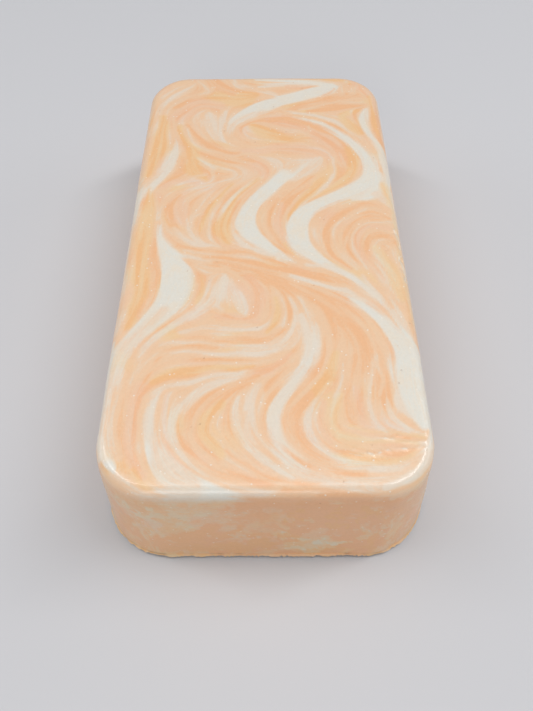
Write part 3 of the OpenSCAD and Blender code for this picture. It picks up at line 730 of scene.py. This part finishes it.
# ---- material
# sRGB colours of the soaps
ORANGE_DEEP = (240, 187, 142)
PEACH = (238, 200, 164)
PALE = (232, 213, 192)
CREAM = (226, 223, 213)
CREAM_WARM = (231, 219, 201)
# white of the specks: partly soda ash, partly painted glints
ASH_AND_GLINT_WHITE = (250, 240, 226)
SPECK_BROWN = (190, 140, 105)
# tints where the soap leans to yellow or pink; on the walls a painted warm glow of light passing through
# the soap; and in the gap under the lip painted shade
YELLOWISH = (1, 1.015, 0.9, 1)
PINKISH = (1, 0.98, 1.02, 1)
PAINTED_WALL_GLOW = (0.98, 0.88, 0.74, 1)
PAINTED_GAP_SHADE = (0.35, 0.28, 0.22, 1)
WHITE = (1, 1, 1, 1)


def srgb(r, g, b):
    """An sRGB colour of 0 to 255 as the linear one that the shader takes."""
    c = np.array([r, g, b]) / 255
    lin = np.where(c <= 0.04045, c / 12.92, ((c + 0.055) / 1.055) ** 2.4)
    return (*lin.tolist(), 1.0)


class Nodes:
    """Short ways to add linked nodes to a material's tree."""

    def __init__(self, tree):
        self.tree = tree

    def add(self, kind, **settings):
        node = self.tree.nodes.new(kind)
        for name, value in settings.items():
            setattr(node, name, value)
        return node

    def put(self, socket, value):
        if isinstance(value, bpy.types.NodeSocket):
            self.tree.links.new(value, socket)
        else:
            socket.default_value = value

    def fill(self, kind, **inputs):
        """A new node with its named inputs linked or set."""
        node = self.add(kind)
        for name, value in inputs.items():
            self.put(node.inputs[name], value)
        return node

    def calc(self, operation, a, b=0.0, c=0.0):
        node = self.add("ShaderNodeMath", operation=operation)
        for socket, value in zip(node.inputs, (a, b, c)):
            self.put(socket, value)
        return node.outputs[0]

    def mix(self, factor, a, b, blend="MIX"):
        node = self.add("ShaderNodeMix", data_type="RGBA", blend_type=blend)
        self.put(node.inputs[0], factor)
        self.put(node.inputs[6], a)
        self.put(node.inputs[7], b)
        return node.outputs[2]

    def ramp(self, value, low, high):
        node = self.add("ShaderNodeMapRange", interpolation_type="SMOOTHSTEP")
        self.put(node.inputs[0], value)
        node.inputs[1].default_value, node.inputs[2].default_value = low, high
        return node.outputs[0]

    def noise(self, vector, scale, detail, rough):
        return self.fill("ShaderNodeTexNoise", Vector=vector, Scale=scale, Detail=detail,
                         Roughness=rough).outputs["Fac"]

    def parts(self, attribute):
        """The three numbers of a mesh attribute."""
        source = self.add("ShaderNodeAttribute", attribute_name=attribute)
        node = self.add("ShaderNodeSeparateXYZ")
        self.put(node.inputs[0], source.outputs["Vector"])
        return node.outputs

    def bump(self, height, strength, distance):
        return self.fill("ShaderNodeBump", Strength=strength, Distance=distance,
                         Height=height).outputs[0]


def swirl_colour(n, place):
    """The two soaps' colours, blended by the swirl attributes."""
    tone, warm, cream = n.parts("swirl")
    fine, broad, side = n.parts("threads")
    # hair-thin threads: noise over the two drawn-out fields keeps to the flow
    drawn_out = n.fill("ShaderNodeCombineXYZ", X=fine, Y=broad)
    hair = n.calc("SUBTRACT", n.noise(drawn_out.outputs[0], 1.6, 2.0, 0.6), 0.5)
    grain = n.calc("SUBTRACT", n.noise(place, 900, 3.0, 0.6), 0.5)
    cloud = n.calc("SUBTRACT", n.noise(place, 120, 3.0, 0.6), 0.5)

    level = n.calc("MULTIPLY_ADD", hair, 0.6, tone)
    level = n.calc("MULTIPLY_ADD", grain, 0.10, level)
    level = n.calc("MULTIPLY_ADD", cloud, 0.16, level)
    orange = n.add("ShaderNodeValToRGB")
    n.put(orange.inputs[0], level)
    stops = orange.color_ramp
    stops.interpolation = "EASE"
    stops.elements[0].color = srgb(*ORANGE_DEEP)
    stops.elements[1].color = srgb(*PALE)
    stops.elements.new(0.5).color = srgb(*PEACH)
    yellowish = n.mix(n.ramp(warm, 0.0, 1.0), WHITE, YELLOWISH)
    pinkish = n.mix(n.ramp(n.calc("MULTIPLY", warm, -1.0), 0.0, 1.0), WHITE, PINKISH)
    tint = n.mix(1.0, yellowish, pinkish, "MULTIPLY")
    tinted = n.mix(1.0, orange.outputs[0], tint, "MULTIPLY")

    creaminess = n.calc("MULTIPLY_ADD", hair, 0.8, cream)
    creaminess = n.calc("MULTIPLY_ADD", cloud, 0.4, creaminess)
    warmth = n.ramp(n.calc("ADD", hair, cloud), -0.25, 0.3)
    cream_tone = n.mix(warmth, srgb(*CREAM), srgb(*CREAM_WARM))
    return n.mix(n.ramp(creaminess, 0.05, 1.0), tinted, cream_tone), side


def specks(n, place):
    """How far a point lies in a white speck, part soda ash and part painted glint, and in one of the few
    darker ones.
    """
    spots = n.fill("ShaderNodeTexVoronoi", Vector=place, Scale=500)
    chance = n.fill("ShaderNodeSeparateColor", Color=spots.outputs["Color"])
    near_spot = n.ramp(spots.outputs["Distance"], 0.34, 0.12)
    white_speck_and_glint = n.calc("MULTIPLY", near_spot, n.calc("GREATER_THAN", chance.outputs[0], 0.94))
    dark_spot = n.calc("MULTIPLY", near_spot, n.calc("LESS_THAN", chance.outputs[0], 0.003))
    return white_speck_and_glint, dark_spot


def waxy_skin(n, shader, place, white_speck_and_glint, dark_spot):
    """A satin, a little uneven skin under a thin gloss."""
    smear = n.noise(place, 60, 4.0, 0.6)
    n.put(shader.inputs["Roughness"], n.calc("MULTIPLY_ADD", smear, 0.3, 0.24))
    gloss = {"Specular IOR Level": 0.45, "Coat Weight": 0.6, "Coat Roughness": 0.15}
    for name, value in gloss.items():
        shader.inputs[name].default_value = value
    height = n.calc("MULTIPLY", white_speck_and_glint, 0.5)
    height = n.calc("MULTIPLY_ADD", n.noise(place, 420, 4.0, 0.65), 0.35, height)
    height = n.calc("MULTIPLY_ADD", n.noise(place, 1500, 3.0, 0.6), 0.12, height)
    height = n.calc("MULTIPLY_ADD", dark_spot, -0.8, height)
    n.put(shader.inputs["Normal"], n.bump(height, 0.6, 0.0004))
    n.put(shader.inputs["Coat Normal"], n.bump(n.noise(place, 700, 4.0, 0.6), 0.28, 0.0003))


def soap(name):
    """Both soaps in one material, because each piece's edges shade into its neighbours."""
    material = bpy.data.materials.new(name)
    material.use_nodes = True
    n = Nodes(material.node_tree)
    n.tree.nodes.clear()
    shader = n.add("ShaderNodeBsdfPrincipled")
    result = n.add("ShaderNodeOutputMaterial")
    n.put(result.inputs[0], shader.outputs[0])
    place = n.add("ShaderNodeNewGeometry").outputs["Position"]

    colour, side = swirl_colour(n, place)
    white_speck_and_glint, dark_spot = specks(n, place)
    # white specks: partly soda ash, partly painted glints
    colour = n.mix(n.calc("MULTIPLY", white_speck_and_glint, 0.6), colour, srgb(*ASH_AND_GLINT_WHITE))
    colour = n.mix(n.calc("MULTIPLY", dark_spot, 0.3), colour, srgb(*SPECK_BROWN))
    mottle = n.calc("MULTIPLY_ADD", n.noise(place, 650, 5.0, 0.7), 0.16, 0.92)
    shade = n.fill("ShaderNodeCombineColor", Red=mottle, Green=mottle, Blue=mottle)
    colour = n.mix(1.0, colour, shade.outputs[0], "MULTIPLY")
    # painted glow: the sides are tinted browner for light glowing through the soap; painted shade: the
    # gap under the lip is darkened
    colour = n.mix(n.ramp(side, 0.0, 1.0), colour, n.mix(1.0, colour, PAINTED_WALL_GLOW, "MULTIPLY"))
    colour = n.mix(n.ramp(side, 1.0, 2.0), colour, n.mix(1.0, colour, PAINTED_GAP_SHADE, "MULTIPLY"))
    n.put(shader.inputs["Base Color"], colour)
    waxy_skin(n, shader, place, white_speck_and_glint, dark_spot)
    return material


# ---- colours stored on the pieces
# how white each ribbon is: 1 cream, 0 the pale blend
WHITENESS = {
    "cream_mid_streak": 0.55, "cream_hook_streak": 0.5, "cream_mid_band": 0.4,
    "cream_lower_hook": 0.4, "cream_lower_mid_band": 0.45, "cream_near_left_streak": 0.5,
    "cream_left_streak": 0.7, "cream_inner_left_ribbon": 0.5, "cream_small_tongue": 0.35,
    "cream_right_streak_a": 0.45, "cream_right_streak_b": 0.4, "cream_lower_s_ribbon": 0.7,
    "cream_right_edge_streak": 0.75, "cream_far_ribbon": 0.9,
}
# places where orange has been drawn into a ribbon and dulls it: a path of [x, y, half width]
VEILS = [
    [[34, -24, 2], [44, -31, 5], [54, -40, 6], [62, -52, 4]],
    [[16, -30, 3], [26, -36, 3], [36, -41, 2]],
    [[-24, 82, 6], [-20, 92, 6], [-13, 104, 4], [0, 112, 0.5]],
    [[-38, -28, 1], [-38, -40, 1.5], [-43, -52, 1]],
    [[0, 108, 3], [14, 108, 3], [24, 106, 1]],
    [[18, 54, 3], [24, 60, 4]],
    [[8, -16, 2], [18, -23, 3], [24, -27, 3]],
    [[-52, -54, 3], [-62, -66, 3], [-70, -80, 4], [-74, -96, 4], [-75, -112, 4], [-72, -132, 4]],
    [[-48, -126, 4], [-42, -140, 8], [-36, -150, 8]],
    [[-50, -100, 4], [-53, -112, 5], [-52, -122, 4], [-49, -130, 1]],
    [[20, -46, 3], [24, -60, 2]],
    [[22, -142, 2], [36, -148, 3], [56, -149, 4]],
]
# the near wall's marks on the flat map: a path of [x, y, half width], and how much paler it is
WALL_MARKS = [
    ([[-12, -158, 2], [8, -161, 5], [24, -163, 7], [40, -161, 5]], -0.45),
    ([[44, -163, 4], [58, -162, 6], [72, -166, 8]], -0.4),
    ([[-74, -164, 5], [-62, -176, 10], [-50, -190, 11], [-46, -200, 8]], 0.4),
    ([[-70, -200, 5], [-64, -212, 6]], 0.2),
    ([[-30, -176, 5], [-14, -182, 6], [4, -186, 5]], 0.2),
    ([[-48, -212, 3], [-28, -204, 4], [-6, -208, 4], [14, -200, 3]], -0.35),
    ([[30, -196, 3], [48, -204, 5], [64, -198, 4]], -0.3),
    ([[10, -212, 1.2], [22, -214, 2], [34, -213, 1]], 0.5),
    ([[6, -198, 0.6], [13, -200, 1], [20, -199, 0.7]], 0.7),
    ([[24, -205, 0.7], [31, -207, 1.1], [37, -205.5, 0.7]], 0.8),
    ([[-22, -196, 0.6], [-14, -198, 0.8], [-7, -197, 0.6]], 0.5),
    ([[40, -188, 0.6], [47, -190, 0.8], [52, -189, 0.6]], 0.4),
]
# where the centre band's left flank is all orange again
BARE = [[-20, 8, 2], [-16, -4, 4], [-8, -11, 4], [3, -17.5, 3]]


def wall_blotches(flat, wall):
    """How far the swirl is pushed about on the walls, where it is blotched against the mould."""
    push = np.column_stack([Wobble(51, 13)(flat), Wobble(52, 13)(flat)]) * 3.5
    push += np.column_stack([Wobble(53, 4.5)(flat), Wobble(54, 4.5)(flat)]) * 1.2
    return push * wall[:, None]


def along(flat, path, outer, inner):
    """1 along a path of [x, y, half width], down to 0 a little beyond that width."""
    out = np.zeros(len(flat))
    near, d, w = to_line(flat, curve(path), 12)
    out[near] = smoothstep(w + outer, w - inner, d)
    return out


def paint_crease_highlights(cream, flat):
    """Paints pale highlights on the creases' crests."""
    ragged = crease_breaks(flat)
    for path, height in CREASES:
        near, d, w = to_line(flat, curve(path, 1.0), 4)
        crest_highlight = 2 * height * ragged[near] * smoothstep(w + 0.5, 0, d)
        cream[near] = np.maximum(cream[near], crest_highlight)


def paint(obj, plans, flow, fine, broad):
    """Stores the swirl on a piece's vertices: tone, warmth and creaminess, and the threads."""
    p = in_mm(obj.data)
    flat = flat_map(p)
    wall = smoothstep(WALL_S - 3, WALL_S + 5, way_along(p)[2])
    blotch = wall_blotches(flat, wall)
    tone, warm = swirl(flat + blotch)
    f, b = flow.lookup(fine, flat, flow.fine), flow.lookup(broad, flat, flow.fine)
    drawn = 1 - 0.6 * wall  # the threads show best on the top, and the walls are blotched
    patches = smoothstep(-0.3, 0.6, Wobble(61, 34)(flat + 2 * blotch))
    tone = tone + drawn * (0.12 * f + 0.11 * b) + wall * (0.15 * tone - 0.58 + 0.45 * patches)
    warm += 0.6 * wall
    for path, paler in WALL_MARKS:
        near, d, w = to_line(flat + blotch, curve(path), 14)
        tone[near] += paler * smoothstep(1.6 * w + 0.8, 0.4 * w, d)
    cream, unveiled = np.zeros(len(p)), np.ones(len(p))
    for path in VEILS:
        unveiled *= 1 - 0.5 * along(flat, path, 3, 1.5)
    bare = along(flat, BARE, 2, 2)
    for node, (ring, floor_z) in plans.items():
        inside = to_outline(p[:, :2] + blotch, ring, 12)
        inside = np.minimum(inside, (p[:, 2] - floor_z) * 0.5)
        inside += drawn * (0.55 * f + 0.8 * b)
        share = smoothstep(-2.2 - 2 * wall, 2.4 + 3 * wall, inside) * (1 - 0.8 * bare)
        white = WHITENESS.get(node, 1.0) * (1 - 0.7 * wall) * unveiled
        tone += (1.0 - tone) * share * 0.8 * (1 - white)
        cream = np.maximum(cream, share * white)
    # painted highlights along the creases' crests
    paint_crease_highlights(cream, flat)
    lip = smoothstep(LIP_TOP + 0.6, LIP_TOP, p[:, 2]) * (p[:, 2] > BEVEL_HIGH / 2)
    tone += (0.8 - tone) * 0.8 * lip
    cream = np.maximum(cream, smoothstep(0.95, 1.35, tone))
    # 0 on the top, 1 on the walls, 2 in the gap under the lip; it masks the walls' painted glow and the
    # gap's painted shade
    side = wall + smoothstep(BEVEL_HIGH + 0.2, BEVEL_HIGH - 0.6, p[:, 2])
    for name, columns in (("swirl", (tone, warm, cream)), ("threads", (f, b, side))):
        layer = obj.data.attributes.new(name, "FLOAT_VECTOR", "POINT")
        layer.data.foreach_set("vector", np.column_stack(columns).astype(np.float32).ravel())


# ---- building the pieces
def cut_pieces(slab, plans):
    """Each ribbon cut out of the slab, and what is left of it: (object, CAD node, slot)."""
    pieces = []
    every_verts, every_faces = [], []
    for node, (ring, floor_z) in plans.items():
        verts, faces = curtain(past_the_wall(ring, floor_z), floor_z)
        cutter = mesh_object("cutter", verts, faces)
        pieces.append((cut(node + "_look", slab, cutter, "INTERSECT"), node, "cream_soap"))
        bpy.data.objects.remove(cutter)
        every_faces += [tuple(i + len(every_verts) for i in face) for face in faces]
        every_verts += verts
    cutter = mesh_object("cutter", every_verts, every_faces)
    pieces.append((cut(BODY + "_look", slab, cutter, "DIFFERENCE"), BODY, "orange_soap"))
    bpy.data.objects.remove(cutter)
    return pieces


def build():
    slab = mesh_object("slab", *build_skin())
    skin, normal_at = smooth_normals(slab)
    plans = {node: ribbon_plan(node) for node in RIBBONS}
    pieces = cut_pieces(slab, plans)
    bpy.data.objects.remove(slab)
    # the threads run along the strokes and along the ribbons' edges
    edges = [np.column_stack([ring, np.zeros(len(ring))]) for ring, _ in plans.values()]
    flow = Flow([curve(path) for _, *path in STROKES] + edges)
    fine, broad = flow.threads(11, 0.9, 16), flow.threads(12, 2.2, 24)
    materials = {slot: soap(slot) for slot in ("cream_soap", "orange_soap")}
    for obj, node, slot in pieces:
        paint(obj, plans, flow, fine, broad)
        keep_skin_smooth(obj, skin, normal_at)
        obj.data.materials.clear()
        obj.data.materials.append(materials[slot])
        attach(obj, "root")
        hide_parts(node)


# ---- floor, light and camera
def floor():
    half = 3000  # mm
    verts = [(-half, -half, 0), (half, -half, 0), (half, half, 0), (-half, half, 0)]
    obj = mesh_object("floor", verts, [(0, 1, 2, 3)])
    material = bpy.data.materials.new("floor")
    material.use_nodes = True
    shader = material.node_tree.nodes["Principled BSDF"]
    shader.inputs["Base Color"].default_value = srgb(205, 205, 208)
    shader.inputs["Roughness"].default_value = 0.7
    obj.data.materials.append(material)


def area_light(name, place, size, power, along=(1, 0, 0)):
    """A rectangular lamp that faces the slab, with its first side along the given direction."""
    lamp = bpy.data.lights.new(name, "AREA")
    lamp.shape, lamp.size, lamp.size_y = "RECTANGLE", size[0], size[1]
    lamp.energy = power
    obj = put_in_scene(name, lamp)
    away = Vector(place).normalized()
    side = away.cross(Vector(along)).normalized()
    turn = Matrix((side.cross(away), side, away)).transposed().to_4x4()
    obj.matrix_world = Matrix.Translation(place) @ turn


def lights():
    area_light("overhead", (0, 0.15, 2.0), (1.2, 0.7), 5.5)
    for side in (-1, 1):
        # these panels draw a bright line round the near corners' edges
        power, breadth = (10.5, 0.28) if side < 0 else (17.5, 0.36)
        area_light("panel", (side * 1.2, 0.25, 2.0), (1.6, breadth), power, (side * 0.8, 0.6, 0))
        area_light("window", (side * 2.4, 0.4, 0.9), (1.6, 1.0), 8, (0, 1, 0))
    area_light("fill", (-0.3, -2.0, 1.2), (1.2, 0.9), 10)
    world = bpy.data.worlds.new("room")
    world.use_nodes = True
    background = world.node_tree.nodes["Background"]
    background.inputs["Color"].default_value = (0.95, 0.97, 1, 1)
    background.inputs["Strength"].default_value = 0.31
    bpy.context.scene.world = world


def camera():
    """At the photograph's viewing angle."""
    place = Vector((0.0009, -0.2406, 0.3212))
    pitch, yaw, roll = (math.radians(angle) for angle in (57.36, -0.07, -0.32))
    data = bpy.data.cameras.new("camera")
    data.sensor_width, data.lens = 36, 30.34
    obj = put_in_scene("camera", data)
    turn = Euler((math.pi / 2 - pitch, 0, -yaw)).to_matrix().to_4x4() @ Matrix.Rotation(roll, 4, "Z")
    obj.matrix_world = Matrix.Translation(place) @ turn
    bpy.context.scene.camera = obj


build()
floor()
lights()
camera()
bpy.context.scene.view_settings.view_transform = "Standard"
